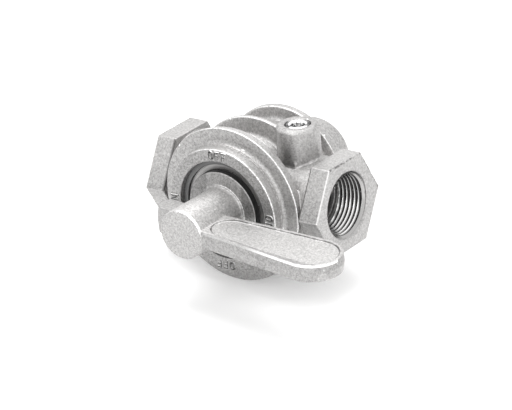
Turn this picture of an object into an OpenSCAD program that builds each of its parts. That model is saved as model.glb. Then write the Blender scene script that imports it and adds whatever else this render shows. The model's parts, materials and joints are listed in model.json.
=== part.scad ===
// Manual shut-off valve: a ribbed cast body with two threaded hexagon ports,
// a quarter-turn rotor worked by a paddle lever, and a plugged bleed boss.
// The pipe runs along X, the rotor turns about Y, the lever stands at -Y and
// the bleed boss points along +Z. The origin is on the pipe axis, at the outer end
// of the inlet thread.
// Sizes along Y are measured from the pipe axis, sizes along X from the rotor axis.

/* [Ports] */
// Length of the valve from one port face to the other
face_to_face = 104.3; // [96:0.1:130]
// Width across the flats of the hexagon ports
hex_af = 46; // [42:0.5:56]
// Length of each hexagon
hex_len = 11; // [6:0.5:14]
// Radius of the round neck behind each hexagon
neck_r = 21.6; // [20:0.1:23]
// Wall radius of the port thread, at its roots
port_thread_r = 16.65; // [15.5:0.05:17.5]
// Distance from the rotor axis to the end of the port thread
port_thread_end = 34; // [32:0.5:38]
// Width of the chamfer at each port mouth
mouth_chamfer = 0.8; // [0.3:0.1:1.5]

/* [Drum] */
// Radius of the drum between its ribs
core_r = 28.2; // [27:0.1:32]
// Radius of the front rib
front_rib_r = 40; // [36:0.1:46]
// Distance from the pipe axis to the face of the front rib
front_rib_y = 25; // [24:0.1:30]
// Thickness of the front rib
front_rib_t = 6.1; // [4:0.1:9]
// Taper of the front rib's rim: its radius at the rear is smaller by this
front_rib_taper = 1.3; // [0:0.1:2]
// Radius of the middle rib
mid_rib_r = 37.8; // [34:0.1:44]
// Distance of the front of the middle rib from the pipe axis
mid_rib_y = 2.5; // [0:0.1:6]
// Thickness of the middle rib
mid_rib_t = 2.7; // [2:0.1:7]
// Radius of the rear rib
rear_rib_r = 35.4; // [32:0.1:42]
// Distance of the rear of the rear rib from the pipe axis
rear_rib_y = 23.8; // [23:0.1:30]
// Thickness of the rear rib
rear_rib_t = 4.4; // [3:0.1:7]
// Radius of the raised ring on the front of the drum
ring_r = 31.9; // [30:0.1:34]
// Height of the raised ring above the front rib
ring_h = 7.8; // [5:0.1:9]
// Radius of the boss on the rear of the drum, where it leaves the drum
rear_boss_r = 21.9; // [20:0.1:25]
// Distance from the pipe axis to the end of the rear boss
rear_boss_y = 52; // [50:0.5:60]
// Radius of the cast fillets at the roots of the ribs
cast_fillet = 2; // [0.5:0.1:2.5]
// Chamfer on the cast edges
cast_edge = 0.5; // [0.2:0.1:1]
// Radius of the rounding at the end of the rear boss
rear_round = 5; // [2:0.5:8]
// How much the rear boss narrows from its foot to its end, on the radius
rear_taper = 2.5; // [0:0.5:4]
// Height of the letters on the raised ring
letter_h = 4.6; // [3:0.1:5.5]

/* [Rotor] */
// Radius of the rotor barrel
rotor_r = 16.5; // [15.5:0.05:17.5]
// Radius of the rotor's neck in the gland, and of the lever's foot disc
disc_r = 20.05; // [18:0.05:20.5]
// Radius of the flow port through the rotor
flow_r = 10; // [7:0.1:10.5]
// Distance from the pipe axis to the rear end of the barrel
barrel_end = 19.6; // [19:0.1:20.5]
// Radius of the rotor flange that the gland holds
flange_r = 23.3; // [21:0.1:24]
// Thickness of the rotor flange
flange_t = 2.45; // [1.5:0.05:3]
// Radius of the rear journal of the rotor
journal_r = 8.95; // [7:0.05:9.5]
// Length of the rear journal
journal_len = 14.4; // [12:0.1:15]
// Width of the square drive between lever and rotor
drive_w = 15; // [12:0.1:18]
// Radius of the pin that locks the lever to the rotor
pin_r = 1.5; // [1:0.1:1.8]

/* [Gland and seals] */
// Radius of the counterbore that takes the gland
gland_bore_r = 25.5; // [24.2:0.1:26]
// Thickness of the gland ring
gland_t = 4.65; // [4:0.05:5.5]
// Thickness of the thrust washers
washer_t = 0.95; // [0.5:0.05:1.5]
// Thickness of the retaining ring
clip_t = 1.5; // [1.2:0.1:2.2]
// Depth of the retaining ring below the face of the raised ring
clip_depth = 3; // [2.5:0.05:4]
// Radial width of the retaining ring inside the counterbore
clip_w = 2.6; // [2.2:0.1:3.8]
// Depth of the retaining ring's groove
clip_groove = 1.6; // [1:0.1:2]
// Depth of the O-ring grooves
seal_groove = 1.4; // [1:0.1:1.6]
// Width of the O-ring grooves
seal_groove_w = 2.2; // [1.8:0.1:2.5]
// Outer radius of the port seats
seat_r = 14.4; // [13:0.1:14.8]
// Length of a port seat behind the rotor barrel
seat_len = 4; // [3.6:0.1:4.6]

/* [Rear end] */
// Wall thickness of the rear bush
bush_wall = 3; // [2:0.1:4]
// Length of the rear bush
bush_len = 12.4; // [9:0.1:13]
// Radius of the rear plug
rear_plug_r = 13.9; // [13:0.1:15]
// Length of the rear plug
rear_plug_len = 7; // [5:0.1:7.5]
// Width across the flats of the rear plug's socket
rear_socket_af = 12; // [8:0.5:14]

/* [Bleed boss] */
// Distance from the rotor axis to the axis of the bleed boss
bleed_x = 25.3; // [25.2:0.1:27]
// Width across the flats of the octagonal bleed boss
bleed_af = 21; // [19:0.5:23]
// Height of the bleed boss above the pipe axis
bleed_top = 38.2; // [36:0.1:44]
// Chamfer round the top of the bleed boss
bleed_chamfer = 1.9; // [0.8:0.1:2.5]
// Wall radius of the bleed thread
bleed_thread_r = 6.58; // [6:0.02:7]
// Radius of the bleed drilling
bleed_drill_r = 2.5; // [1.5:0.1:3]
// Width across the flats of the bleed plug's socket
bleed_socket_af = 7; // [5:0.5:8]
// Length of the bleed plug
bleed_plug_len = 10; // [7:0.5:11]
// Depth of the socket in the bleed plug
bleed_socket_depth = 5; // [3:0.5:6]

/* [Lever] */
// Angle of the lever past the line of the pipe, as it stands
lever_droop = 3.35; // [0:0.05:6]
// Distance from the pipe axis to the lever's end face
lever_face_y = 66; // [60:0.5:72]
// Radius of the lever's stem at its end face
stem_r = 12.7; // [12.5:0.1:13.4]
// Radius of the lever's stem at its root
stem_root_r = 12.2; // [11:0.1:12.4]
// Radius of the fillet at the root of the stem
stem_fillet = 1.4; // [0.5:0.1:2]
// Depth of the lever's disc below the face of the raised ring
lever_disc_depth = 0.1; // [0:0.1:2.5]
// Distance from the pipe axis to the middle of the paddle
paddle_y = 55; // [52:0.1:58]
// Height of the middle of the paddle and tail above the stem's axis
paddle_lift = 0.7; // [0:0.1:1.5]
// Distance from the rotor axis to the centre of the paddle's round tip
paddle_x = 69.5; // [55:0.5:85]
// Radius of the paddle's round tip
paddle_tip_r = 15.3; // [12:0.1:17]
// Half width of the paddle where it leaves the stem
paddle_root_w = 11; // [9:0.1:12]
// Thickness of the paddle
paddle_t = 8.8; // [6:0.1:10]
// Distance from the stem to the centre of the panels' round inner end
panel_start = 9; // [7:0.5:14]
// Width of the rim round the paddle's recessed panels
panel_rim = 2; // [1.2:0.1:3]
// Depth of the recessed panels
panel_depth = 0.4; // [0.2:0.1:0.8]
// Reach of the tail on the far side of the stem
tail_x = 21.8; // [20:0.1:26]
// Half width of the tail
tail_w = 5.8; // [5:0.1:9]
// Thickness of the tail
tail_t = 14; // [8:0.5:16]
// Distance of the tail's middle behind the middle of the paddle
tail_offset = 1.3; // [0:0.1:4]

/* [Fits] */
// Radial clearance of the running fits
running = 0.05; // [0.02:0.01:0.09]
// Gap between faces that seat on each other
face_gap = 0.05; // [0.03:0.01:0.15]
// Gap round a soft seal
seal_gap = 0.1; // [0.05:0.01:0.2]
// Gap round a washer or spring that is only guided loosely
loose = 0.3; // [0.2:0.05:0.5]
// Gap left at the blind end of a bore or recess
end_gap = 0.4; // [0.2:0.1:0.8]

/* [Hidden] */
$fn = 96;
small_fn = 32; // facets round the small holes, pins and seals

cut = 1; // how far a cutting shape runs past the face that it opens
port_face = face_to_face / 2;
hex_inner = port_face - hex_len;
ring_face = front_rib_y + ring_h; // distance of the ring's front face from the pipe axis
clip_front = ring_face - clip_depth;
clip_back = clip_front - clip_t;
gland_front = clip_back - face_gap;
gland_back = gland_front - gland_t;
outer_washer_back = gland_back - face_gap - washer_t;
flange_front = outer_washer_back - face_gap;
flange_back = flange_front - flange_t;
inner_washer_back = flange_back - face_gap - washer_t;
gland_floor = inner_washer_back - face_gap; // bottom of the counterbore
seal_r = (seal_groove + running - 2 * seal_gap) / 2; // section radius of the round seals
barrel_bore_r = rotor_r + running;
disc_bore_r = disc_r + running;
barrel_bore_end = barrel_end + end_gap;
rotor_split = 28.8; // lever disc and rotor barrel meet this far in front of the pipe axis
lever_disc_y = ring_face - lever_disc_depth;
drive_end = 13; // the square drive ends this far in front of the pipe axis
pin_y = 16; // the pin crosses the rotor this far in front of the pipe axis
bush_bore_r = journal_r + running + bush_wall;
bush_y = barrel_bore_end + end_gap;
journal_end = barrel_end + journal_len;
pad_t = 2; // thickness of the rear thrust pad
spring_t = 1; // thickness of a disc spring
spring_rise = 0.55; // height by which a disc spring is cupped
plug_sink = 1; // plugs and retainers lie this far inside the ends of their threads
rear_plug_y = rear_boss_y - plug_sink - rear_plug_len;
rear_thread_start = rear_plug_y - end_gap / 2;
seat_face_r = rotor_r + running + seal_gap; // hollow face of a seat against the barrel
seat_back = rotor_r + seat_len;
retainer_x = seat_back + 2 * (spring_t + spring_rise) + 2 * face_gap;
retainer_end = port_thread_end - plug_sink;
seat_bore_r = seat_r + running;
seat_start = 8; // seats and their bores start this far from the rotor axis
seat_seal_x = seat_back - seal_groove_w; // middle of a seat's seal groove
rotor_seal_y = 16.5; // middle of the rotor's seal groove, behind the pipe axis
spring_bore_extra = 0.5; // the seat springs and retainers clear the flow passage by this
spring_bore_r = flow_r + spring_bore_extra;

module place() translate([port_face - mouth_chamfer, 0, 0]) children();
module about_y() rotate([-90, 0, 0]) children();
module about_x() rotate([0, 90, 0]) children();
module lathe_y(y0, y1, r) about_y() translate([0, 0, y0]) cylinder(h = y1 - y0, r = r);
module lathe_x(x0, x1, r) about_x() translate([0, 0, x0]) cylinder(h = x1 - x0, r = r);
module tube_y(y0, y1, r_in, r_out) difference() {
    lathe_y(y0, y1, r_out);
    lathe_y(y0 - cut, y1 + cut, r_in);
}
module tube_x(x0, x1, r_in, r_out) difference() {
    lathe_x(x0, x1, r_out);
    lathe_x(x0 - cut, x1 + cut, r_in);
}
module seal_about_y(y, r) about_y() translate([0, 0, y])
    rotate_extrude() translate([r, 0]) circle(r = seal_r, $fn = small_fn);
module seal_about_x(x, r) about_x() translate([0, 0, x])
    rotate_extrude() translate([r, 0]) circle(r = seal_r, $fn = small_fn);
module port_side(side) mirror([side < 0 ? 1 : 0, 0, 0]) children();

// Points of an arc, as radius and distance along the axis
arc_steps = 4;
function arc(cx, cy, r, from, to) = [for (i = [0 : arc_steps])
    let (angle = from + (to - from) * i / arc_steps) [cx + r * cos(angle), cy + r * sin(angle)]];
// Outline of one rib, from the core outwards and back, with cast fillets at its foot
function rib(y0, y1, r) = concat(
    arc(core_r + cast_fillet, y0 - cast_fillet, cast_fillet, 180, 90),
    [[r - cast_edge, y0], [r, y0 + cast_edge], [r, y1 - cast_edge], [r - cast_edge, y1]],
    arc(core_r + cast_fillet, y1 + cast_fillet, cast_fillet, -90, -180));
rear_end_r = rear_boss_r - rear_taper;
drum_outline = concat(
    [[0, -ring_face], [ring_r - cast_edge, -ring_face], [ring_r, -ring_face + cast_edge]],
    arc(ring_r + cast_fillet, -front_rib_y - cast_fillet, cast_fillet, 180, 90),
    [[front_rib_r - cast_edge, -front_rib_y], [front_rib_r, -front_rib_y + cast_edge]],
    [[front_rib_r - front_rib_taper, -front_rib_y + front_rib_t - cast_edge]],
    [[front_rib_r - front_rib_taper - cast_edge, -front_rib_y + front_rib_t]],
    arc(core_r + cast_fillet, -front_rib_y + front_rib_t + cast_fillet, cast_fillet, -90, -180),
    rib(-mid_rib_y, -mid_rib_y + mid_rib_t, mid_rib_r),
    arc(core_r + cast_fillet, rear_rib_y - rear_rib_t - cast_fillet, cast_fillet, 180, 90),
    [[rear_rib_r - cast_edge, rear_rib_y - rear_rib_t]],
    [[rear_rib_r, rear_rib_y - rear_rib_t + cast_edge]],
    [[rear_rib_r, rear_rib_y - cast_edge], [rear_rib_r - cast_edge, rear_rib_y]],
    arc(rear_boss_r + cast_fillet, rear_rib_y + cast_fillet, cast_fillet, -90, -180),
    arc(rear_end_r - rear_round, rear_boss_y - rear_round, rear_round, 0, 90),
    [[0, rear_boss_y]]);

// Raised letters on the ring, drawn with their foot on the X axis and centred on it
letter_w = 3;
stroke = 0.9;
letter_pitch = 3.9;
letter_rise = 0.45;
letter_sink = 0.2; // depth of the letters' roots in the ring
off_angles = [0, 180];
on_angles = [94, 270];
module bar(x0, y0, x1, y1) translate([x0, y0]) square([x1 - x0, y1 - y0]);
module letter_o() difference() {
    union() {
        for (y = [letter_w / 2, letter_h - letter_w / 2])
            translate([0, y]) circle(d = letter_w, $fn = small_fn);
        bar(-letter_w / 2, letter_w / 2, letter_w / 2, letter_h - letter_w / 2);
    }
    for (y = [letter_w / 2, letter_h - letter_w / 2])
        translate([0, y]) circle(d = letter_w - 2 * stroke, $fn = small_fn);
    bar(stroke - letter_w / 2, letter_w / 2, letter_w / 2 - stroke, letter_h - letter_w / 2);
}
module letter_f() {
    bar(-letter_w / 2, 0, stroke - letter_w / 2, letter_h);
    bar(-letter_w / 2, letter_h - stroke, letter_w / 2, letter_h);
    bar(-letter_w / 2, (letter_h - stroke) / 2, (letter_w - stroke) / 2, (letter_h + stroke) / 2);
}
module letter_n() {
    bar(-letter_w / 2, 0, stroke - letter_w / 2, letter_h);
    bar(letter_w / 2 - stroke, 0, letter_w / 2, letter_h);
    polygon([[-letter_w / 2, letter_h], [stroke - letter_w / 2, letter_h],
        [letter_w / 2, 0], [letter_w / 2 - stroke, 0]]);
}
// A word on the ring, its letters' tops outwards, at an angle clockwise from the top
module ring_word(angle, letters) rotate([0, angle, 0])
    translate([0, -ring_face + letter_sink, (ring_r + gland_bore_r - letter_h) / 2])
    rotate([90, 0, 0]) linear_extrude(height = letter_rise + letter_sink) {
        count = len(letters);
        for (i = [0 : count - 1]) translate([(i - (count - 1) / 2) * letter_pitch, 0]) {
            if (letters[i] == "O") letter_o();
            if (letters[i] == "F") letter_f();
            if (letters[i] == "N") letter_n();
        }
    }

// Octagonal boss along Z, its top edge turned off by a 45 degree cone
module octagon_boss(af, top, chamfer) rotate([0, 0, 180 / 8]) intersection() {
    corner = af / 2 / cos(180 / 8);
    cylinder(h = top, r = corner, $fn = 8);
    cylinder(h = top, r1 = corner - chamfer + top, r2 = corner - chamfer);
}

module port_outside() {
    lathe_x(0, hex_inner + cut, neck_r);
    about_x() translate([0, 0, hex_inner]) rotate([0, 0, 30])
        cylinder(h = hex_len, r = hex_af / 2 / cos(30), $fn = 6);
}
module port_inside() {
    lathe_x(seat_start, port_thread_end + cut, seat_bore_r);
    lathe_x(port_thread_end, port_face + cut, port_thread_r);
    about_x() translate([0, 0, port_face - mouth_chamfer])
        cylinder(h = mouth_chamfer + cut, r1 = port_thread_r,
            r2 = port_thread_r + mouth_chamfer + cut);
}

module valve_body() color([0.78, 0.77, 0.76]) place() difference() {
    union() {
        about_y() rotate_extrude() polygon(drum_outline);
        for (side = [-1, 1]) port_side(side) port_outside();
        translate([bleed_x, 0, 0]) octagon_boss(bleed_af, bleed_top, bleed_chamfer);
        for (angle = off_angles) ring_word(angle, ["O", "F", "F"]);
        for (angle = on_angles) ring_word(angle, ["O", "N"]);
    }
    lathe_y(-ring_face - cut, -gland_floor, gland_bore_r);
    lathe_y(-clip_front - face_gap, -clip_back + face_gap, gland_bore_r + clip_groove);
    lathe_y(-gland_floor - cut, barrel_bore_end, barrel_bore_r);
    lathe_y(barrel_bore_end - cut, rear_thread_start + cut, bush_bore_r);
    lathe_y(rear_thread_start, rear_boss_y + cut, rear_plug_r + running);
    for (side = [-1, 1]) port_side(side) port_inside();
    translate([bleed_x, 0, 0]) {
        cylinder(h = bleed_top + cut, r = bleed_drill_r);
        translate([0, 0, bleed_top - bleed_plug_len - end_gap])
            cylinder(h = bleed_plug_len + end_gap + cut, r = bleed_thread_r);
    }
}

module rotor_plug() color([0.7, 0.7, 0.72]) place() rotate([0, lever_droop, 0]) difference() {
    union() {
        lathe_y(-rotor_split + face_gap, -flange_back, disc_r);
        lathe_y(-flange_front, -flange_back, flange_r);
        lathe_y(-flange_back - cut, barrel_end, rotor_r);
        lathe_y(barrel_end - cut, journal_end, journal_r);
    }
    lathe_x(-rotor_r - cut, rotor_r + cut, flow_r);
    translate([-drive_w / 2, -rotor_split - cut, -drive_w / 2])
        cube([drive_w, rotor_split + cut - drive_end + end_gap / 2, drive_w]);
    translate([0, -pin_y, -rotor_r - cut])
        cylinder(h = 2 * (rotor_r + cut), r = pin_r + running, $fn = small_fn);
    tube_y(rotor_seal_y - seal_groove_w / 2, rotor_seal_y + seal_groove_w / 2,
        rotor_r - seal_groove, rotor_r + cut);
}

// Outline of the paddle seen along Z, from inside the stem to the round tip
function paddle_slope() = (paddle_tip_r - paddle_root_w) / (paddle_x - stem_r);
module paddle_outline(inset, root_x) {
    slant = atan(paddle_slope());
    tip_x = paddle_x + (paddle_tip_r - inset) * -sin(slant);
    tip_w = (paddle_tip_r - inset) * cos(slant);
    root_w = tip_w - (tip_x - root_x) * paddle_slope();
    translate([paddle_x, 0]) circle(r = paddle_tip_r - inset);
    polygon([[root_x, -root_w], [tip_x, -tip_w], [tip_x, tip_w], [root_x, root_w]]);
}
module paddle_panel() {
    root_x = stem_r + panel_start;
    paddle_outline(panel_rim, root_x);
    translate([root_x, 0]) circle(r = paddle_root_w - panel_rim + panel_depth);
}
stem_edge = 0.8; // chamfer round the stem's end face
module operating_lever() color([0.8, 0.8, 0.79]) place() rotate([0, lever_droop, 0]) difference() {
    union() {
        // Disc at the foot of the stem, which shows inside the ring
        lathe_y(-lever_disc_y, -rotor_split, disc_r);
        about_y() rotate_extrude() polygon(concat(
            [[0, -lever_face_y], [stem_r - stem_edge, -lever_face_y]],
            [[stem_r, -lever_face_y + stem_edge]],
            arc(stem_root_r + stem_fillet, -lever_disc_y - stem_fillet, stem_fillet, 180, 90),
            [[0, -lever_disc_y]]));
        translate([0, -paddle_y, paddle_lift - paddle_t / 2]) linear_extrude(height = paddle_t)
            paddle_outline(0, 0);
        translate([0, -paddle_y + tail_offset, paddle_lift - tail_t / 2])
            linear_extrude(height = tail_t) {
            translate([tail_w - tail_x, 0]) circle(r = tail_w);
            translate([tail_w - tail_x, -tail_w]) square([tail_x - tail_w, 2 * tail_w]);
        }
        translate([-drive_w / 2 + running, -rotor_split - cut, -drive_w / 2 + running])
            cube([drive_w - 2 * running, rotor_split + cut - drive_end, drive_w - 2 * running]);
    }
    for (side = [0, 1]) translate([0, 0, paddle_lift]) mirror([0, 0, side])
        translate([0, -paddle_y, paddle_t / 2 - panel_depth])
        linear_extrude(height = cut) paddle_panel();
    translate([0, -pin_y, -rotor_r])
        cylinder(h = 2 * rotor_r, r = pin_r + running, $fn = small_fn);
}

module drive_pin() color([0.55, 0.55, 0.57]) place() rotate([0, lever_droop, 0])
    translate([0, -pin_y, -rotor_r + loose])
    cylinder(h = 2 * (rotor_r - loose), r = pin_r, $fn = small_fn);

// Internal retaining ring, open between two drilled lugs
clip_out_r = gland_bore_r + clip_groove - running;
clip_in_r = gland_bore_r - clip_w;
clip_lug_r = 1.9;
clip_hole_r = 0.9;
clip_lug_overlap = 1.2; // how far the lugs run into the ring
clip_lug_y = clip_lug_overlap - clip_in_r - clip_lug_r;
clip_open = 13; // half of the angle between the lugs
clip_turn = 135; // the opening stands this far clockwise from the bottom
module retaining_ring() color([0.28, 0.28, 0.3]) place() rotate([0, clip_turn, 0])
    about_y() translate([0, 0, -clip_front]) difference() {
        union() {
            difference() {
                cylinder(h = clip_t, r = clip_out_r);
                translate([0, 0, -cut]) cylinder(h = clip_t + 2 * cut, r = clip_in_r);
                translate([0, 0, -cut]) linear_extrude(height = clip_t + 2 * cut)
                    polygon([[0, 0], for (side = [-1, 1])
                        2 * clip_out_r * [side * sin(clip_open), -cos(clip_open)]]);
            }
            for (side = [-1, 1]) rotate([0, 0, side * clip_open])
                translate([side * clip_lug_r, clip_lug_y, 0]) cylinder(h = clip_t, r = clip_lug_r);
        }
        for (side = [-1, 1]) rotate([0, 0, side * clip_open])
            translate([side * clip_lug_r, clip_lug_y, -cut])
            cylinder(h = clip_t + 2 * cut, r = clip_hole_r, $fn = small_fn);
    }

gland_seal_y = (gland_front + gland_back) / 2;
module gland_ring() color([0.7, 0.7, 0.72]) place() difference() {
    tube_y(-gland_front, -gland_back, disc_bore_r, gland_bore_r - running);
    tube_y(-gland_seal_y - seal_groove_w / 2, -gland_seal_y + seal_groove_w / 2,
        gland_bore_r - running - seal_groove, gland_bore_r + cut);
    lathe_y(-gland_seal_y - seal_groove_w / 2, -gland_seal_y + seal_groove_w / 2,
        disc_bore_r + seal_groove);
}
module gland_outer_seal() color([0.1, 0.1, 0.1]) place()
    seal_about_y(-gland_seal_y, gland_bore_r - seal_gap - seal_r);
module gland_inner_seal() color([0.1, 0.1, 0.1]) place()
    seal_about_y(-gland_seal_y, disc_r + seal_gap + seal_r);
module front_thrust_washer() color([0.9, 0.9, 0.86]) place()
    tube_y(-outer_washer_back - washer_t, -outer_washer_back, disc_bore_r, gland_bore_r - running);
module inner_thrust_washer() color([0.9, 0.9, 0.86]) place()
    tube_y(-inner_washer_back - washer_t, -inner_washer_back, barrel_bore_r, gland_bore_r - running);
module rotor_rear_seal() color([0.1, 0.1, 0.1]) place()
    seal_about_y(rotor_seal_y, barrel_bore_r - seal_gap - seal_r);

module rear_bush() color([0.72, 0.6, 0.35]) place()
    tube_y(bush_y, bush_y + bush_len, journal_r + running, bush_bore_r);
pad_y = journal_end + face_gap;
module rear_thrust_pad() color([0.9, 0.9, 0.86]) place()
    lathe_y(pad_y, pad_y + pad_t, bush_bore_r - loose);

// Cupped disc springs, stacked in turn face to face and back to back
module disc_springs(from, count, r_in, r_out) for (i = [0 : count - 1])
    translate([0, 0, from + i * (spring_t + spring_rise)]) rotate_extrude() {
        inner = i % 2 == 0 ? spring_rise : 0;
        outer = spring_rise - inner;
        polygon([[r_in, inner], [r_out, outer], [r_out, outer + spring_t], [r_in, inner + spring_t]]);
    }
rear_spring_count = 4;
rear_spring_r = 5; // bore of the rear disc springs
rear_spring_y = pad_y + pad_t + face_gap;
module rear_disc_springs() color([0.6, 0.6, 0.62]) place() about_y()
    disc_springs(rear_spring_y, rear_spring_count, rear_spring_r, bush_bore_r - loose);

rear_seal_y = rear_plug_y + rear_plug_len / 2;
rear_socket_floor = 2; // metal left below the rear plug's socket
module rear_plug() color([0.75, 0.75, 0.76]) place() difference() {
    union() {
        lathe_y(rear_plug_y, rear_plug_y + rear_plug_len, rear_plug_r);
        // Spigot that bears on the disc springs
        lathe_y(rear_spring_y + rear_spring_count * (spring_t + spring_rise) + face_gap,
            rear_plug_y + cut, bush_bore_r - loose);
    }
    about_y() translate([0, 0, rear_plug_y + rear_socket_floor])
        cylinder(h = rear_plug_len, r = rear_socket_af / 2 / cos(30), $fn = 6);
    tube_y(rear_seal_y - seal_groove_w / 2, rear_seal_y + seal_groove_w / 2,
        rear_plug_r - seal_groove, rear_plug_r + cut);
}
module rear_plug_seal() color([0.1, 0.1, 0.1]) place()
    seal_about_y(rear_seal_y, rear_plug_r + running - seal_gap - seal_r);

// Port seat: a hollow face against the rotor barrel and a flat back
module port_seat() difference() {
    tube_x(seat_start, seat_back, flow_r, seat_r);
    lathe_y(-seat_r - cut, seat_r + cut, seat_face_r);
    tube_x(seat_seal_x - seal_groove_w / 2, seat_seal_x + seal_groove_w / 2,
        seat_r - seal_groove, seat_r + cut);
}
module seat_seal() seal_about_x(seat_seal_x, seat_bore_r - seal_gap - seal_r);
module seat_springs() about_x() disc_springs(seat_back + face_gap, 2, spring_bore_r, seat_r - loose);
spanner_hole_r = 1;
spanner_hole_depth = 2;
module seat_retainer() difference() {
    tube_x(retainer_x, retainer_end, spring_bore_r, seat_r);
    translate([bleed_x, 0, 0]) cylinder(h = seat_r + cut, r = bleed_drill_r);
    for (angle = [0, 90, 180, 270]) rotate([angle, 0, 0])
        translate([retainer_end - spanner_hole_depth, 0, (seat_r + spring_bore_r) / 2])
        about_x() cylinder(h = spanner_hole_depth + cut, r = spanner_hole_r, $fn = small_fn);
}
module inlet_seat() color([0.9, 0.9, 0.86]) place() port_side(-1) port_seat();
module outlet_seat() color([0.9, 0.9, 0.86]) place() port_side(1) port_seat();
module inlet_seat_seal() color([0.1, 0.1, 0.1]) place() port_side(-1) seat_seal();
module outlet_seat_seal() color([0.1, 0.1, 0.1]) place() port_side(1) seat_seal();
module inlet_seat_springs() color([0.6, 0.6, 0.62]) place() port_side(-1) seat_springs();
module outlet_seat_springs() color([0.6, 0.6, 0.62]) place() port_side(1) seat_springs();
module inlet_seat_retainer() color([0.7, 0.7, 0.72]) place() port_side(-1) seat_retainer();
module outlet_seat_retainer() color([0.7, 0.7, 0.72]) place() port_side(1) seat_retainer();

plug_edge = 0.5; // chamfer round the bleed plug's top
plug_lead_in = 0.8; // depth of the cone at the mouth of the bleed plug's socket
module bleed_plug() color([0.85, 0.85, 0.86]) place()
    translate([bleed_x, 0, bleed_top - bleed_plug_len]) difference() {
        union() {
            cylinder(h = bleed_plug_len - plug_edge, r = bleed_thread_r - running);
            cylinder(h = bleed_plug_len, r = bleed_thread_r - running - plug_edge);
            translate([0, 0, bleed_plug_len - plug_edge]) cylinder(h = plug_edge,
                r1 = bleed_thread_r - running, r2 = bleed_thread_r - running - plug_edge);
        }
        translate([0, 0, bleed_plug_len - bleed_socket_depth])
            cylinder(h = bleed_plug_len, r = bleed_socket_af / 2 / cos(30), $fn = 6);
        translate([0, 0, bleed_plug_len - plug_lead_in]) cylinder(h = plug_lead_in + cut,
            r1 = bleed_socket_af / 2, r2 = bleed_socket_af / 2 + plug_lead_in + cut);
    }

valve_body();
rotor_plug();
operating_lever();
drive_pin();
retaining_ring();
gland_ring();
gland_outer_seal();
gland_inner_seal();
front_thrust_washer();
inner_thrust_washer();
rotor_rear_seal();
rear_bush();
rear_thrust_pad();
rear_disc_springs();
rear_plug();
rear_plug_seal();
inlet_seat();
outlet_seat();
inlet_seat_seal();
outlet_seat_seal();
inlet_seat_springs();
outlet_seat_springs();
inlet_seat_retainer();
outlet_seat_retainer();
bleed_plug();
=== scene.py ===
# Manual shut-off valve: a blasted casting with two hexagon ports and a paddle lever
import json
import math
import bmesh
import bpy
from mathutils import Matrix, Vector


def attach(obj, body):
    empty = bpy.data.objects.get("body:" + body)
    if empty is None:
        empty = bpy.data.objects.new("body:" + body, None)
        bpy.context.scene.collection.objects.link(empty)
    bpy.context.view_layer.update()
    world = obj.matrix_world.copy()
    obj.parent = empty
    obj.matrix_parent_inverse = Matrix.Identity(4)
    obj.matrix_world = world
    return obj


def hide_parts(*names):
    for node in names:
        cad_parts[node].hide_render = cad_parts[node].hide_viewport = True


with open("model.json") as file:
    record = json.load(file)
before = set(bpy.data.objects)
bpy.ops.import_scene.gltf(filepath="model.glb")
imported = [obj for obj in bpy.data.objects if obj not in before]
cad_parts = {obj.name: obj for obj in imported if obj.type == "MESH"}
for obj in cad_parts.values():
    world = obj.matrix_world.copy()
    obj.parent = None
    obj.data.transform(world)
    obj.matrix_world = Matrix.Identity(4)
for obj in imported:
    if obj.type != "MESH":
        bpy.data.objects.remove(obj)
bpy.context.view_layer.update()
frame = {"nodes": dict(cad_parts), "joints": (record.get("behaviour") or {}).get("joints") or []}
scene = bpy.context.scene
nodes = frame["nodes"]
mm = 0.001
rotorX = frame["joints"][0]["pos_m"][0]  # the rotor's axis crosses the pipe here
rotorAxis = Vector((rotorX, 0, 0))
print("frame loaded,", len(nodes), "nodes")


# Camera
photoView = {
    "turn": 0.66515, "rise": 0.404569, "roll": -0.083203,  # radians, to the left, above and clockwise
    "distance": 1.79532, "right": 0.002769, "up": -0.009107,  # metres, from the rotor's axis
    "lens": 255.617, "sensor": 36.0,
}


def viewAxes():
    turn, rise, roll = photoView["turn"], photoView["rise"], photoView["roll"]
    back = Vector((math.sin(turn) * math.cos(rise), -math.cos(turn) * math.cos(rise), math.sin(rise)))
    level = Vector((math.cos(turn), math.sin(turn), 0))
    over = back.cross(level)
    right = math.cos(roll) * level + math.sin(roll) * over
    up = math.cos(roll) * over - math.sin(roll) * level
    return right, up, back


def makeCamera():
    right, up, back = viewAxes()
    data = bpy.data.cameras.new("photoCamera")
    data.lens = photoView["lens"]
    data.sensor_width = photoView["sensor"]
    data.sensor_fit = "HORIZONTAL"
    data.clip_start = 0.05
    data.clip_end = 20
    camera = bpy.data.objects.new("photoCamera", data)
    place = rotorAxis + back * photoView["distance"] - right * photoView["right"] + up * photoView["up"]
    turned = Matrix((right, up, back)).transposed().to_4x4()
    camera.matrix_world = Matrix.Translation(place) @ turned
    scene.collection.objects.link(camera)
    scene.camera = camera


# Shader helpers. A colour is a tuple of three numbers.
def setSocket(tree, socket, value):
    if isinstance(value, (int, float)):
        socket.default_value = value
    elif isinstance(value, tuple):
        socket.default_value = (*value, 1)
    else:
        tree.links.new(value, socket)


def newGroup(name, inputs, outputs):
    group = bpy.data.node_groups.new(name, "ShaderNodeTree")
    for label, start in inputs:
        socket = group.interface.new_socket(label, in_out="INPUT", socket_type="NodeSocketFloat")
        socket.default_value = start
    for label in outputs:
        group.interface.new_socket(label, in_out="OUTPUT", socket_type="NodeSocketFloat")
    return group, group.nodes.new("NodeGroupInput"), group.nodes.new("NodeGroupOutput")


def addMath(tree, operation, first, second=None, clamp=False):
    node = tree.nodes.new("ShaderNodeMath")
    node.operation = operation
    node.use_clamp = clamp
    setSocket(tree, node.inputs[0], first)
    if second is not None:
        setSocket(tree, node.inputs[1], second)
    return node.outputs[0]


def above(tree, value, limit):
    return addMath(tree, "GREATER_THAN", value, limit)


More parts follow.
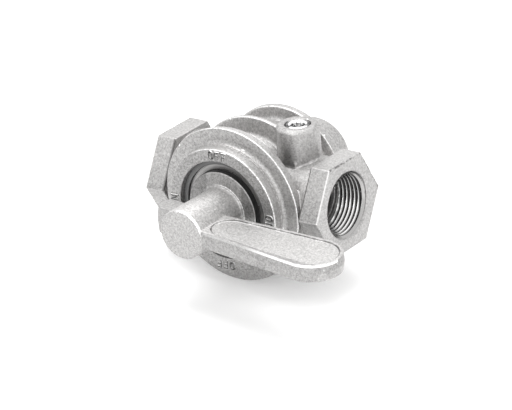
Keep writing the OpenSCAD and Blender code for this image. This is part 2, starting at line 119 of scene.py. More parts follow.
def under(tree, value, limit):
    return addMath(tree, "LESS_THAN", value, limit)


def minus(tree, first, second, clamp=False):
    return addMath(tree, "SUBTRACT", first, second, clamp)


def absolute(tree, value):
    return addMath(tree, "ABSOLUTE", value)


def product(tree, first, *others):
    for other in others:
        first = addMath(tree, "MULTIPLY", first, other)
    return first


def largest(tree, first, *others):
    for other in others:
        first = addMath(tree, "MAXIMUM", first, other)
    return first


def weighed(tree, first, firstShare, second, secondShare):
    return addMath(tree, "ADD", product(tree, first, firstShare), product(tree, second, secondShare))


def hypotenuse(tree, first, second):
    return addMath(tree, "SQRT", addMath(
        tree, "ADD", addMath(tree, "POWER", first, 2), addMath(tree, "POWER", second, 2)))


# Maps start to low and end to high, and holds them beyond
def addRange(tree, value, start, end, low=0, high=1, smooth=False):
    span = tree.nodes.new("ShaderNodeMapRange")
    if smooth:
        span.interpolation_type = "SMOOTHSTEP"
    given = {"Value": value, "From Min": start, "From Max": end, "To Min": low, "To Max": high}
    for label, entry in given.items():
        setSocket(tree, span.inputs[label], entry)
    return span.outputs["Result"]


def addNoise(tree, place, scale, detail, roughness=0.5):
    node = tree.nodes.new("ShaderNodeTexNoise")
    given = {"Vector": place, "Scale": scale, "Detail": detail, "Roughness": roughness}
    for label, entry in given.items():
        setSocket(tree, node.inputs[label], entry)
    return node.outputs["Fac"]


def addParts(tree, vector):
    split = tree.nodes.new("ShaderNodeSeparateXYZ")
    tree.links.new(vector, split.inputs[0])
    return split.outputs["X"], split.outputs["Y"], split.outputs["Z"]


def addPlace(tree):
    place = tree.nodes.new("ShaderNodeTexCoord").outputs["Object"]
    return place, *addParts(tree, place)


def addNormal(tree):
    return tree.nodes.new("ShaderNodeNewGeometry").outputs["Normal"]


def fromRotorX(tree, x):
    return minus(tree, x, rotorX)


# 1 on a line and 0 beyond its width, from the distance to its middle. A reach of 2 keeps its edges sharp.
def addLine(tree, away, width, reach):
    return minus(tree, reach, addMath(tree, "DIVIDE", away, width), clamp=True)


# Blasted casting: fine grain, scattered pits and broad cloudy patches
grainMix = {"fine": 0.6, "coarse": 0.4, "coarseScale": 0.35, "pitSharp": 9, "pitFrom": 0.56, "pitDepth": 0.5}


def makeCastGrain():
    group, inside, outside = newGroup(
        "castGrain", (("Grain Scale", 2600), ("Patch Scale", 55), ("Pit Scale", 260)),
        ("Grain", "Patches", "Height"))
    place = addPlace(group)[0]
    grain = addNoise(group, place, inside.outputs["Grain Scale"], 4, 0.65)
    coarse = addNoise(group, place, product(group, inside.outputs["Grain Scale"], grainMix["coarseScale"]), 2)
    patches = addNoise(group, place, inside.outputs["Patch Scale"], 3, 0.6)
    pits = group.nodes.new("ShaderNodeTexVoronoi")
    pits.feature = "F1"
    group.links.new(place, pits.inputs["Vector"])
    group.links.new(inside.outputs["Pit Scale"], pits.inputs["Scale"])
    pitDepth = minus(group, 1, addMath(
        group, "MULTIPLY", pits.outputs["Distance"], grainMix["pitSharp"], clamp=True))
    pitPlace = above(group, coarse, grainMix["pitFrom"])
    mixed = weighed(group, grain, grainMix["fine"], coarse, grainMix["coarse"])
    height = minus(group, mixed, product(group, pitDepth, pitPlace, grainMix["pitDepth"]))
    group.links.new(mixed, outside.inputs["Grain"])
    group.links.new(patches, outside.inputs["Patches"])
    group.links.new(height, outside.inputs["Height"])
    return group


# Painted highlights on edges and painted shade in inner corners, from the bend of the surface
def makeEdgeHighlightAndShade():
    group, inside, outside = newGroup(
        "edgeWear", (("Edge Start", 0.53), ("Edge End", 0.6), ("Corner Start", 0.48), ("Corner End", 0.4)),
        ("Edges", "Corners"))
    bend = group.nodes.new("ShaderNodeNewGeometry").outputs["Pointiness"]
    for label in ("Edge", "Corner"):
        share = addRange(
            group, bend, inside.outputs[label + " Start"], inside.outputs[label + " End"], smooth=True)
        group.links.new(share, outside.inputs[label + "s"])
    return group


# Painted highlights: bright lines along rims about the rotor's axis. Circles are (radius, y) in millimetres.
# Only the side towards the light gets them: lit is its middle, in degrees clockwise from the top, and the
# cosines at which the lines start and are full.
rimHighlights = {
    "drum": {
        "circles": ((31.7, -32.6), (32.1, -27.3), (39.8, -24.8), (38.5, -19.1), (37.6, -2.3), (37.6, 0.0),
                    (35.2, 19.6), (35.2, 23.6)),
        "width": 0.5 * mm, "lit": (42, 0.2, 0.6),
    },
    "stem": {"circles": ((12.1, -65.7), (12.5, -65.3)), "width": 0.75 * mm, "lit": (36, 0.62, 0.85)},
    "foot": {"circles": ((20.05, -32.7), (13.4, -32.9)), "width": 0.42 * mm, "lit": (60, 0.2, 0.7)},
}
rimNoise = {"scale": 1100, "gaps": 0.22, "least": 0.01 * mm}


def makeRimHighlights(name):
    rims = rimHighlights[name]
    group, inside, outside = newGroup(name + "Rims", (), ("Lines",))
    place, x, y, z = addPlace(group)
    fromRotor = fromRotorX(group, x)
    across = hypotenuse(group, fromRotor, z)
    nearest = None
    for radius, along in rims["circles"]:
        away = hypotenuse(group, minus(group, across, radius * mm), minus(
            group, y, along * mm))
        nearest = away if nearest is None else addMath(group, "MINIMUM", nearest, away)
    ragged = product(group, minus(
        group, addNoise(group, place, rimNoise["scale"], 2), rimNoise["gaps"]), rims["width"])
    lines = addLine(group, nearest, largest(group, ragged, rimNoise["least"]), 2)
    degrees, start, full = rims["lit"]
    middle = math.radians(degrees)
    towards = addMath(group, "DIVIDE", weighed(
        group, fromRotor, math.sin(middle), z, math.cos(middle)), across)
    group.links.new(product(group, lines, addRange(group, towards, start, full)), outside.inputs["Lines"])
    return group


# Painted lines along the edges of the two hexagons: a painted highlight at the sloping side of the front face,
# painted shade at its top and at the rear
hexLines = {
    "flat": 22.9 * mm, "front": 52.05 * mm, "rear": 41.25 * mm, "corner": -13.1 * mm, "brightHalf": 0.34 * mm,
    "darkHalf": 0.5 * mm, "brightShare": 0.5, "darkShare": 0.9, "noise": 900, "leastWidth": 0.4,
    "dotNoise": 500, "dotFrom": 0.45, "dotTo": 0.575,
}


def makeHexEdgeLight():
    group, inside, outside = newGroup("hexLines", (), ("Bright", "Dark"))
    place, x, y, z = addPlace(group)
    fromRotor = absolute(group, fromRotorX(group, x))
    outwards = absolute(group, z)
    for turn in (math.pi / 6, -math.pi / 6):
        slanted = weighed(group, y, math.cos(turn), z, math.sin(turn))
        outwards = largest(group, outwards, absolute(group, slanted))
    aside = minus(group, outwards, hexLines["flat"])
    ragged = addMath(group, "ADD", hexLines["leastWidth"], addNoise(group, place, hexLines["noise"], 2))
    upperHalf = above(group, z, 0)
    onSlope = product(group, under(group, y, hexLines["corner"]), upperHalf)
    onTop = product(group, above(group, y, hexLines["corner"]), upperHalf)

    def edgeLine(edge, half):
        away = hypotenuse(group, aside, minus(group, fromRotor, hexLines[edge]))
        return addLine(group, away, product(group, ragged, hexLines[half]), 2)

    # dotted painted shade along the top of the front edge
    dots = addRange(
        group, addNoise(group, place, hexLines["dotNoise"], 1), hexLines["dotFrom"], hexLines["dotTo"])
    group.links.new(
        product(group, edgeLine("front", "brightHalf"), onSlope, hexLines["brightShare"]),
        outside.inputs["Bright"])
    dark = largest(group, product(group, edgeLine("rear", "darkHalf"), onSlope), product(
        group, edgeLine("front", "darkHalf"), onTop, dots))
    group.links.new(product(group, dark, hexLines["darkShare"]), outside.inputs["Dark"])
    return group


# Painted shade on faces round the ring that look to the front, on the wall of the lever's foot disc, on the
# outer faces of the rear ribs, and on the boss to its left, at its foot and on its top. The hexagons are a
# little darker.
shadeZones = {
    "faceFront": -42 * mm, "faceBack": -18.5 * mm, "soft": 10 * mm, "wallRadius": 19.75 * mm,
    "wallFront": -32.3 * mm, "endsFrom": 40.2 * mm, "endsTo": 40.6 * mm, "ends": 0.08,
    "rimsFrom": -14 * mm, "rimsFlat": 0.6, "rims": 0.13, "boss": 25.3 * mm, "bossReach": 12 * mm,
    "bossLow": 20 * mm, "bossHigh": 36.4 * mm, "bossTop": 37.9 * mm, "top": 0.22, "across": (0.786, 0.618),
    "leftFrom": 0.55, "left": 0.16, "foot": 0.26,
}


def makeShadeZones():
    zones = shadeZones
    group, inside, outside = newGroup("shadeZones", (), ("Front", "Wall", "Tone"))
    place, x, y, z = addPlace(group)
    facingY = addParts(group, addNormal(group))[1]
    # painted shade on faces round the ring that look to the front
    toFront = addMath(group, "MULTIPLY", facingY, -1, clamp=True)
    behind = addRange(group, y, zones["faceFront"], zones["faceFront"] + zones["soft"])
    before = addRange(group, y, zones["faceBack"], zones["faceBack"] - zones["soft"])
    group.links.new(product(
        group, addMath(group, "POWER", toFront, 3), behind, before), outside.inputs["Front"])
    fromRotor = fromRotorX(group, x)
    # painted shade on the wall of the lever's foot disc
    group.links.new(product(
        group, above(group, hypotenuse(group, fromRotor, z), zones["wallRadius"]),
        above(group, y, zones["wallFront"])), outside.inputs["Wall"])
    # the hexagons a little darker
    ends = addRange(
        group, absolute(group, fromRotor), zones["endsFrom"], zones["endsTo"], 0, zones["ends"])
    # painted shade on the outer faces of the rear ribs
    outwards = under(group, absolute(group, facingY), zones["rimsFlat"])
    rims = product(group, outwards, above(group, y, zones["rimsFrom"]), zones["rims"])
    # painted shade on the boss: to its left, at its foot and on its top
    bossX = minus(group, fromRotor, zones["boss"])
    onBoss = product(
        group, under(group, hypotenuse(group, bossX, y), zones["bossReach"]),
        above(group, z, zones["bossLow"]))
    rightward = weighed(group, bossX, zones["across"][0], y, zones["across"][1])
    leftward = minus(group, zones["leftFrom"], addMath(
        group, "DIVIDE", rightward, zones["bossReach"]), clamp=True)
    below = addRange(
        group, z, zones["bossHigh"], zones["bossLow"], zones["left"], zones["left"] + zones["foot"])
    onWall = product(group, under(group, z, zones["bossHigh"]), leftward, below)
    onTop = product(group, above(group, z, zones["bossTop"]), zones["top"])
    boss = product(group, onBoss, largest(group, onWall, onTop))
    group.links.new(minus(group, 1, largest(group, boss, ends, rims)), outside.inputs["Tone"])
    return group


# Where the lever's forms lie, for its marks and its mesh. Ends are (x, radius) in millimetres from the rotor.
leverPlan = {
    "droop": math.radians(3.35), "lift": 0.7 * mm, "paddleY": -55 * mm, "tailY": -53.7 * mm,
    "panelRoot": (21.7, 9.4), "panelTip": (69.5, 13.2),
}

# Painted light and marks on the lever in its own frame: painted shade lines round its panel and on the tail's
# outline, a painted highlight on the near edge, tones with painted shade and light, patches and a pin ring
leverLightAndMarkSizes = {
    "lineHalf": 0.34 * mm, "edgeRoot": (0, 9.7), "edgeTip": (69.5, 15.1), "edgeHalf": 0.23 * mm,
    "edgeLeast": 0.2, "edgeFrom": 38 * mm, "edgeTo": 56 * mm, "edgeOver": 3.2 * mm,
    "paddleFrom": 13.5 * mm, "sideFrom": 12 * mm, "sideFlat": 0.5, "reach": 1.4,
    "raggedNoise": 700, "broadNoise": 110, "gapFrom": 0.3, "gapTo": 0.55,
    "upper": 0.2, "upperSoft": 0.8 * mm, "patch": 0.28, "patchFrom": 0.55, "patchTo": 0.7167, "under": 0.08,
    "tailFrom": -9 * mm, "tail": 0.24, "tailTip": (-15.9, 5.8), "tailRoot": (0, 5.8), "tailTop": 5.9 * mm,
    "tailHalf": 0.8 * mm, "endFrom": -65.7 * mm, "end": 0.26,
    "pin": (25, 1.5), "pinRadius": 5.5 * mm, "pinHalf": 0.5 * mm, "pinShare": 0.2,
    "stem": 12.75 * mm, "stemFrom": -34 * mm, "stemMore": 0.13,
}


# Distance outside a slab with two round ends, each (x, radius) in millimetres
def distanceFromSlab(group, alongX, aside, root, tip):
    length = (tip[0] - root[0]) * mm
    slope = (tip[1] - root[1]) / (tip[0] - root[0])
    fromRoot = minus(group, alongX, root[0] * mm)
    share = addMath(group, "DIVIDE", addMath(
        group, "ADD", fromRoot, product(group, aside, slope)), length, clamp=True)
    ahead = minus(group, fromRoot, product(group, share, length))
    radius = addMath(group, "ADD", root[1] * mm, product(group, share, (tip[1] - root[1]) * mm))
    return minus(group, hypotenuse(group, ahead, aside), radius)


def makeLeverLightAndMarks():
    group, inside, outside = newGroup("leverMarks", (), ("Dark", "Bright", "Tone"))
    place, x, y, z = addPlace(group)
    sine, cosine = math.sin(leverPlan["droop"]), math.cos(leverPlan["droop"])
    fromRotor = fromRotorX(group, x)
    alongX = weighed(group, fromRotor, cosine, z, -sine)
    over = minus(group, weighed(group, fromRotor, sine, z, cosine), leverPlan["lift"])
    sideways = minus(group, y, leverPlan["paddleY"])
    aside = absolute(group, sideways)
    tailSideways = minus(group, y, leverPlan["tailY"])
    ragged = addNoise(group, place, leverLightAndMarkSizes["raggedNoise"], 2)
    broad = addNoise(group, place, leverLightAndMarkSizes["broadNoise"], 3, 0.6)

    def rimLine(away, root, tip, half):
        rim = absolute(group, distanceFromSlab(group, alongX, away, root, tip))
        return addLine(group, rim, product(group, ragged, 2 * leverLightAndMarkSizes[half]), leverLightAndMarkSizes["reach"])

    onPaddle = above(group, alongX, leverLightAndMarkSizes["paddleFrom"])
    tailAside = absolute(group, tailSideways)
    # a painted shade line round the panel, broken in patches
    panelShadeLine = product(
        group, rimLine(aside, leverPlan["panelRoot"], leverPlan["panelTip"], "lineHalf"),
        addRange(group, broad, leverLightAndMarkSizes["gapFrom"], leverLightAndMarkSizes["gapTo"]), onPaddle)
    # a painted shade line on the tail's upper rim on its far side
    tailShadeLine = product(
        group, rimLine(tailAside, leverLightAndMarkSizes["tailTip"], leverLightAndMarkSizes["tailRoot"], "tailHalf"),
        above(group, tailSideways, 0),
        under(group, alongX, leverLightAndMarkSizes["tailFrom"]),
        above(group, over, leverLightAndMarkSizes["tailTop"]))
    group.links.new(largest(group, panelShadeLine, tailShadeLine), outside.inputs["Dark"])
    # a painted highlight along the near edge, stronger towards the tip
    nearHighlightSide = product(
        group, under(group, sideways, 0), above(group, over, leverLightAndMarkSizes["edgeOver"]))
    towardsTip = addRange(group, alongX, leverLightAndMarkSizes["edgeFrom"], leverLightAndMarkSizes["edgeTo"], leverLightAndMarkSizes["edgeLeast"])
    group.links.new(product(
        group, rimLine(aside, leverLightAndMarkSizes["edgeRoot"], leverLightAndMarkSizes["edgeTip"], "edgeHalf"), towardsTip, nearHighlightSide,
        onPaddle), outside.inputs["Bright"])
    # tones: painted shade on the paddle's sides, more on their upper half, random patches on them, and painted
    # shade on the tail and the stem's end
    facingZ = addParts(group, addNormal(group))[2]
    onSide = product(
        group, under(group, absolute(group, facingZ), leverLightAndMarkSizes["sideFlat"]),
        above(group, alongX, leverLightAndMarkSizes["sideFrom"]))
    upper = addRange(group, over, -leverLightAndMarkSizes["upperSoft"] / 2, leverLightAndMarkSizes["upperSoft"] / 2, 0, leverLightAndMarkSizes["upper"])
    patches = addRange(group, broad, leverLightAndMarkSizes["patchFrom"], leverLightAndMarkSizes["patchTo"], 0, leverLightAndMarkSizes["patch"])
    sides = product(group, onSide, addMath(group, "ADD", leverLightAndMarkSizes["under"], largest(group, upper, patches)))
    tail = product(
        group, under(group, alongX, leverLightAndMarkSizes["tailFrom"]),
        above(group, y, leverLightAndMarkSizes["endFrom"]), leverLightAndMarkSizes["tail"])
    end = product(group, under(group, y, leverLightAndMarkSizes["endFrom"]), leverLightAndMarkSizes["end"])
    # a faint ring left by an ejector pin on the panel
    pinAway = hypotenuse(
        group, minus(group, alongX, leverLightAndMarkSizes["pin"][0] * mm),
        minus(group, sideways, leverLightAndMarkSizes["pin"][1] * mm))
    offRing = absolute(group, minus(group, pinAway, leverLightAndMarkSizes["pinRadius"]))
    pinRing = product(
        group, under(group, offRing, product(group, ragged, leverLightAndMarkSizes["pinHalf"])), leverLightAndMarkSizes["pinShare"])
    # painted light: the stem is lighter
    stem = product(
        group, under(group, hypotenuse(group, fromRotor, z), leverLightAndMarkSizes["stem"]),
        under(group, y, leverLightAndMarkSizes["stemFrom"]), leverLightAndMarkSizes["stemMore"])
    group.links.new(minus(group, addMath(
        group, "ADD", 1, stem), largest(group, sides, pinRing, tail, end)), outside.inputs["Tone"])
    return group


# Turned end of the bleed plug with a painted reflection: dark to both sides of its rim, and mottled in its
# socket
glint = {
    "middle": 25.3 * mm, "across": (0.786, 0.618), "low": 0.62, "high": 0.9, "darkFrom": 4.7 * mm,
    "socket": 3.9 * mm, "mottle": 0.5, "mottleSharp": 6, "noise": 900,
    "dark": (0.06, 0.06, 0.06), "bright": (0.93, 0.93, 0.93), "rough": 0.14,
}


def makePaintedTurnedGlint():
    group, inside, outside = newGroup("turnedGlint", (), ("Glint",))
    place, x, y, z = addPlace(group)
    alongX = minus(group, x, rotorX + glint["middle"])
    reach = hypotenuse(group, alongX, y)
    sideways = weighed(group, alongX, glint["across"][0], y, glint["across"][1])
    share = absolute(group, addMath(group, "DIVIDE", sideways, reach))
    wave = minus(group, addNoise(group, place, glint["noise"], 2), 0.5)
    # painted dark reflection to both sides of the rim
    darkRimReflection = product(
        group, addRange(group, addMath(group, "ADD", share, wave), glint["low"], glint["high"]),
        above(group, reach, glint["darkFrom"]))
    # painted mottled reflection in the socket
    mottled = addMath(group, "ADD", 0.5, product(group, wave, glint["mottleSharp"]), clamp=True)
    socketReflection = product(
        group, under(group, reach, glint["socket"]), glint["mottle"], mottled)
    group.links.new(minus(group, 1, largest(group, darkRimReflection, socketReflection)), outside.inputs["Glint"])
    return group


# Fine rings left by turning, about the rotor's axis (Along 1) or the pipe's (Along 0)
def makeTurnedLines():
    group, inside, outside = newGroup("turnedLines", (("Along", 1), ("Ring Scale", 2600)), ("Lines", "Patches"))
    place, x, y, z = addPlace(group)

    def choose(pipe, rotor):
        mix = group.nodes.new("ShaderNodeMix")
        mix.data_type = "FLOAT"
        for socket, value in zip((mix.inputs["Factor"], mix.inputs[2], mix.inputs[3]), (
                inside.outputs["Along"], pipe, rotor)):
            group.links.new(value, socket)
        return mix.outputs[0]

    join = group.nodes.new("ShaderNodeCombineXYZ")
    group.links.new(hypotenuse(group, choose(y, fromRotorX(group, x)), z), join.inputs[0])
    group.links.new(choose(x, y), join.inputs[1])
    group.links.new(
        addNoise(group, join.outputs[0], inside.outputs["Ring Scale"], 2), outside.inputs["Lines"])
    group.links.new(addNoise(group, place, 90, 2), outside.inputs["Patches"])
    return group


castGrain = makeCastGrain()
edgeWear = makeEdgeHighlightAndShade()
drumRimHighlights, stemRimHighlights, footRimHighlights = (makeRimHighlights(name) for name in rimHighlights)
hexEdgeLightGroup = makeHexEdgeLight()
shadeZoneGroup = makeShadeZones()
leverMarks = makeLeverLightAndMarks()
turnedGlint = makePaintedTurnedGlint()
turnedLines = makeTurnedLines()


# Materials
def newMaterial(name, metallic, roughness):
    material = bpy.data.materials.new(name)
    material.use_nodes = True
    tree = material.node_tree
    shader = tree.nodes["Principled BSDF"]
    shader.inputs["Metallic"].default_value = metallic
    shader.inputs["Roughness"].default_value = roughness
    return material, tree, shader


def placeGroup(tree, group, **values):
    node = tree.nodes.new("ShaderNodeGroup")
    node.node_tree = group
    for label, value in values.items():
        node.inputs[label.replace("_", " ")].default_value = value
    return node.outputs


def mixColour(tree, factor, low, high):
    node = tree.nodes.new("ShaderNodeMix")
    node.data_type = "RGBA"
    for socket, value in ((node.inputs["Factor"], factor), (node.inputs[6], low), (node.inputs[7], high)):
        setSocket(tree, socket, value)
    return node.outputs[2]


def scaleColour(tree, colour, factor):
    node = tree.nodes.new("ShaderNodeVectorMath")
    node.operation = "SCALE"
    tree.links.new(colour, node.inputs[0])
    tree.links.new(factor, node.inputs["Scale"])
    return node.outputs["Vector"]


def addBump(tree, shader, height, strength, depth):
    bump = tree.nodes.new("ShaderNodeBump")
    bump.inputs["Strength"].default_value = strength
    bump.inputs["Distance"].default_value = depth
    tree.links.new(height, bump.inputs["Height"])
    tree.links.new(bump.outputs["Normal"], shader.inputs["Normal"])


def addSpread(tree, shader, value, low, high):
    tree.links.new(addRange(tree, value, 0.3, 0.7, low, high), shader.inputs["Roughness"])


# dark and light are the grain's own colours; edge is a painted highlight; corner, wall and the front colours
# are painted shade
castFinishAndLight = {
    "dark": (0.36, 0.354, 0.35), "light": (0.64, 0.632, 0.626), "edge": (0.95, 0.945, 0.94),
    "corner": (0.16, 0.157, 0.155), "frontDark": (0.185, 0.182, 0.18), "frontLight": (0.43, 0.425, 0.42),
    "leverEdges": 0.45, "wall": (0.09, 0.09, 0.09), "spotsFrom": 0.4, "spotsTo": 0.6,
    "roughLow": 0.5, "roughHigh": 0.56, "bump": 0.4, "bumpDepth": 0.15 * mm,
}


def makeCastMaterial(name, onLever):
    material, tree, shader = newMaterial(name, 1.0, 0.5)
    grain = placeGroup(tree, castGrain)
    edgeLighting = placeGroup(tree, edgeWear)
    zones = placeGroup(tree, shadeZoneGroup)
    spots = addRange(tree, grain["Grain"], castFinishAndLight["spotsFrom"], castFinishAndLight["spotsTo"])
    base = mixColour(tree, spots, castFinishAndLight["dark"], castFinishAndLight["light"])
    front = mixColour(tree, spots, castFinishAndLight["frontDark"], castFinishAndLight["frontLight"])
    # painted shade on faces that look to the front
    frontShaded = mixColour(tree, zones["Front"], base, front)
    if onLever:
        lever = placeGroup(tree, leverMarks)
        bright = largest(
            tree, lever["Bright"], product(tree, edgeLighting["Edges"], castFinishAndLight["leverEdges"]),
            placeGroup(tree, stemRimHighlights)["Lines"], placeGroup(tree, footRimHighlights)["Lines"])
        dark = largest(tree, edgeLighting["Corners"], lever["Dark"])
        tone = lever["Tone"]
    else:
        hexEdgeLighting = placeGroup(tree, hexEdgeLightGroup)
        bright = largest(tree, hexEdgeLighting["Bright"], edgeLighting["Edges"], placeGroup(tree, drumRimHighlights)["Lines"])
        dark = largest(tree, edgeLighting["Corners"], hexEdgeLighting["Dark"])
        tone = zones["Tone"]
    # painted highlights on edges and lines, over a colour toned with painted shade and light
    highlighted = mixColour(tree, bright, scaleColour(tree, frontShaded, tone), castFinishAndLight["edge"])
    # painted shade in corners and along dark lines
    shaded = mixColour(tree, dark, highlighted, castFinishAndLight["corner"])
    if onLever:
        # painted shade on the wall of the lever's foot disc
        shaded = mixColour(tree, zones["Wall"], shaded, castFinishAndLight["wall"])
    tree.links.new(shaded, shader.inputs["Base Color"])
    addSpread(tree, shader, grain["Patches"], castFinishAndLight["roughLow"], castFinishAndLight["roughHigh"])
    addBump(tree, shader, grain["Height"], castFinishAndLight["bump"], castFinishAndLight["bumpDepth"])
    return material


# Raised letters with painted light: a painted highlight on their flanks towards the light, painted shade on the
# flanks away from it, and faces painted dark as shade
letterPaintedLight = {
    "bright": (0.97, 0.965, 0.96), "dark": (0.02, 0.02, 0.02), "face": (0.13, 0.128, 0.126),
    "towards": (0.55, -0.1, 0.83), "brightFrom": 0.2, "brightTo": 0.7, "darkFrom": 0.1, "darkTo": -0.0667,
}


def makeLetterMaterial():
    material, tree, shader = newMaterial("letterSteel", 1.0, 0.45)
    grain = placeGroup(tree, castGrain)
    # faces painted dark as shade
    face = mixColour(tree, grain["Grain"], letterPaintedLight["dark"], letterPaintedLight["face"])
    along = tree.nodes.new("ShaderNodeVectorMath")
    along.operation = "DOT_PRODUCT"
    tree.links.new(addNormal(tree), along.inputs[0])
    along.inputs[1].default_value = letterPaintedLight["towards"]
    facing = along.outputs["Value"]
    # painted highlight on flanks towards the light, painted shade on those away from it
    paintedHighlightShare = addRange(tree, facing, letterPaintedLight["brightFrom"], letterPaintedLight["brightTo"])
    paintedShadeShare = addRange(tree, facing, letterPaintedLight["darkFrom"], letterPaintedLight["darkTo"])
    letterShaded = mixColour(tree, paintedShadeShare, face, letterPaintedLight["dark"])
    shade = mixColour(tree, paintedHighlightShare, letterShaded, letterPaintedLight["bright"])
    tree.links.new(shade, shader.inputs["Base Color"])
    addBump(tree, shader, grain["Height"], castFinishAndLight["bump"], castFinishAndLight["bumpDepth"])
    return material


fineBump = 0.05 * mm


def makeTurnedMaterial(name, dark, light, roughLow, roughHigh, along, bump):
    material, tree, shader = newMaterial(name, 1.0, 0.3)
    lines = placeGroup(tree, turnedLines, Along=along)
    tree.links.new(mixColour(tree, lines["Lines"], dark, light), shader.inputs["Base Color"])
    addSpread(tree, shader, lines["Patches"], roughLow, roughHigh)
    addBump(tree, shader, lines["Lines"], bump, fineBump)
    return material


def makeBleedMaterial():
    material, tree, shader = newMaterial("bleedSteel", 1.0, glint["rough"])
    shade = mixColour(tree, placeGroup(tree, turnedGlint)["Glint"], glint["dark"], glint["bright"])
    tree.links.new(shade, shader.inputs["Base Color"])
    return material


# Cut thread with painted light: painted shade at its roots, painted highlights on its crests, in broad bands
# below and fine lines above, fading towards the inside and on the upper half. The first turn, which the mouth's
# cone cuts, is pale.
threadPaintedLight = {
    "root": (0.03, 0.03, 0.03), "crest": (0.93, 0.925, 0.92), "rootRadius": 16.4 * mm, "crestRadius": 15.3 * mm,
    "sharpLow": 1.1, "sharpHigh": 9, "lowZ": -8 * mm, "highZ": 2 * mm, "upperLoss": 0.45,
    "rough": 0.22, "deepFrom": 10 * mm, "deepTo": 16 * mm, "deepLoss": 0.7,
    "deepNoise": 350, "gapFrom": 0.35, "gapTo": 0.5167, "cone": (0.4, 0.395, 0.39), "coneSum": 17.55 * mm,
    "bump": 0.2,
}


def makeThreadMaterial():
    finish = threadPaintedLight
    material, tree, shader = newMaterial("threadSteel", 1.0, finish["rough"])
    place, x, y, z = addPlace(tree)
    reach = hypotenuse(tree, y, z)
    height = addRange(tree, reach, finish["rootRadius"], finish["crestRadius"])
    fromMouth = addMath(tree, "MINIMUM", x, minus(tree, 2 * rotorX, x))
    gaps = addRange(tree, addNoise(tree, place, finish["deepNoise"], 2), finish["gapFrom"], finish["gapTo"])
    # painted shade deeper in the port, in patches, and on the upper half
    deepShade = product(
        tree, addRange(tree, fromMouth, finish["deepFrom"], finish["deepTo"], 0, finish["deepLoss"]), gaps)
    sharp = addRange(tree, z, finish["lowZ"], finish["highZ"], finish["sharpLow"], finish["sharpHigh"])
    threadShade = largest(tree, deepShade, addRange(tree, z, finish["lowZ"], finish["highZ"], 0, finish["upperLoss"]))
    crests = product(tree, addMath(tree, "POWER", height, sharp), minus(tree, 1, threadShade))
    onCone = under(tree, addMath(tree, "ADD", reach, fromMouth), finish["coneSum"])
    shade = mixColour(tree, onCone, mixColour(tree, crests, finish["root"], finish["crest"]), finish["cone"])
    tree.links.new(shade, shader.inputs["Base Color"])
    addBump(tree, shader, placeGroup(tree, turnedLines, Along=0)["Lines"], finish["bump"], fineBump)
    return material


def makeMouldedMaterial(name, dark, light, roughLow, roughHigh):
    material, tree, shader = newMaterial(name, 0.0, 0.5)
    grain = placeGroup(tree, castGrain, Grain_Scale=2400, Patch_Scale=120, Pit_Scale=400)
    tree.links.new(mixColour(tree, grain["Patches"], dark, light), shader.inputs["Base Color"])
    addSpread(tree, shader, grain["Grain"], roughLow, roughHigh)
    addBump(tree, shader, grain["Grain"], 0.15, fineBump)
    return material


castSteel = makeCastMaterial("castSteel", False)
leverSteel = makeCastMaterial("leverSteel", True)
letterSteel = makeLetterMaterial()
turnedSteel = makeTurnedMaterial("turnedSteel", (0.3, 0.3, 0.3), (0.5, 0.5, 0.5), 0.22, 0.38, 1, 0.25)
threadSteel = makeThreadMaterial()
springSteel = makeTurnedMaterial("darkSpringSteel", (0.13, 0.13, 0.13), (0.22, 0.22, 0.22), 0.55, 0.65, 1, 0.3)
bleedSteel = makeBleedMaterial()
grooveSteel = makeTurnedMaterial("grooveSteel", (0.28, 0.275, 0.27), (0.46, 0.455, 0.45), 0.5, 0.6, 1, 0.3)
turnedBrass = makeTurnedMaterial("turnedBrass", (0.55, 0.4, 0.18), (0.72, 0.55, 0.27), 0.25, 0.4, 1, 0.25)
portSteel = makeTurnedMaterial("portSteel", (0.08, 0.08, 0.08), (0.2, 0.2, 0.2), 0.25, 0.4, 0, 0.25)
seatPlastic = makeMouldedMaterial("seatPlastic", (0.78, 0.78, 0.74), (0.88, 0.88, 0.84), 0.35, 0.5)
sealRubber = makeMouldedMaterial("sealRubber", (0.02, 0.02, 0.02), (0.035, 0.035, 0.035), 0.5, 0.7)
nodeFinish = (
    (turnedSteel, "rotor_plug drive_pin rear_plug"), (grooveSteel, "gland_ring"), (turnedBrass, "rear_bush"),
    (portSteel, "inlet_seat_retainer outlet_seat_retainer"),
    (springSteel, "retaining_ring rear_disc_springs inlet_seat_springs outlet_seat_springs"),
    (seatPlastic, "front_thrust_washer inner_thrust_washer rear_thrust_pad inlet_seat outlet_seat"),
    (sealRubber, "gland_outer_seal gland_inner_seal rotor_rear_seal rear_plug_seal"),
    (sealRubber, "inlet_seat_seal outlet_seat_seal"),
    (bleedSteel, "bleed_plug"), (castSteel, "valve_body"), (leverSteel, "operating_lever"),
)
for finish, names in nodeFinish:
    for nodeName in names.split():
        for slot in nodes[nodeName].material_slots:
            slot.material = finish
print("materials made")


# Making pieces
def addPiece(name, bm, body, material, tidyNormals=True):
    if tidyNormals:
        bmesh.ops.recalc_face_normals(bm, faces=bm.faces)
    mesh = bpy.data.meshes.new(name)
    bm.to_mesh(mesh)
    bm.free()
    mesh.materials.append(material)
    mesh.shade_smooth()
    piece = bpy.data.objects.new(name, mesh)
    scene.collection.objects.link(piece)
    if body:
        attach(piece, body)
    return piece


# Makes the result of a piece's modifiers its mesh
def applyModifiers(piece):
    bpy.context.view_layer.update()
    graph = bpy.context.evaluated_depsgraph_get()
    result = bpy.data.meshes.new_from_object(piece.evaluated_get(graph), depsgraph=graph)
    piece.modifiers.clear()
    old = piece.data
    piece.data = result
    bpy.data.meshes.remove(old)
    result.shade_smooth()


